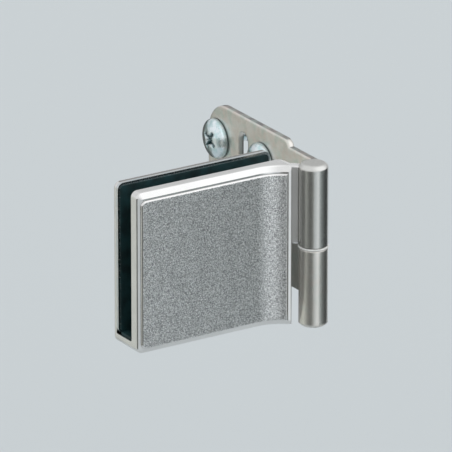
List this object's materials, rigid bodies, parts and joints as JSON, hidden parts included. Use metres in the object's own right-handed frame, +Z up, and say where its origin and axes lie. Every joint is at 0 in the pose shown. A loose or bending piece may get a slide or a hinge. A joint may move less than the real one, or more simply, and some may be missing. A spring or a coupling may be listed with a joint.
{
  "type": "glass door hinge",
  "caption": "Satin nickel hinge for a glass cabinet door: a grained clamp holds the glass corner and turns on a pin in a rounded wing screwed inside the cabinet.",
  "frame": {"origin": "centre of the four mounting screws on the wing's fixing face, which lies on the inner face of the cabinet's side", "axes": "+X out of the fixing face into the cabinet's side, which is also along the closed door from its free side to the pin; +Y into the cabinet; +Z up, along the hinge pin"},
  "size_m": [0.0623, 0.0599, 0.0411],
  "materials": {
    "satin_nickel": "satin nickel plated casting, with a fine grained raised field",
    "wing_nickel": "satin nickel plated casting",
    "zinc_plated_steel": "bright zinc plated, faintly blue",
    "pin_steel": "ground steel",
    "clamp_steel": "nickel plated sheet steel",
    "black_steel": "blackened steel",
    "black_rubber": "matt black soft pad",
    "nylon": "natural white nylon"
  },
  "bodies": {
    "frame_side": {"frame_wing": "wing_nickel", "hinge_pin": "pin_steel", "mounting_screw_upper_rear": "zinc_plated_steel", "mounting_screw_upper_front": "zinc_plated_steel", "mounting_screw_lower_rear": "zinc_plated_steel", "mounting_screw_lower_front": "zinc_plated_steel"},
    "door_side": {"door_leaf": "satin_nickel", "pin_bush": "nylon", "front_liner": "black_rubber", "ledge_liner": "black_rubber", "clamp_plate": "clamp_steel", "clamp_pad": "black_rubber", "clamp_screw_upper": "black_steel", "clamp_screw_lower": "black_steel"}
  },
  "joints": [
    {"name": "door_swing", "type": "hinge", "parent": "frame_side", "child": "door_side", "pos_m": [-0.0069, -0.0412, 0], "axis": [0, 0, 1], "range_deg": [0, 180]}
  ]
}
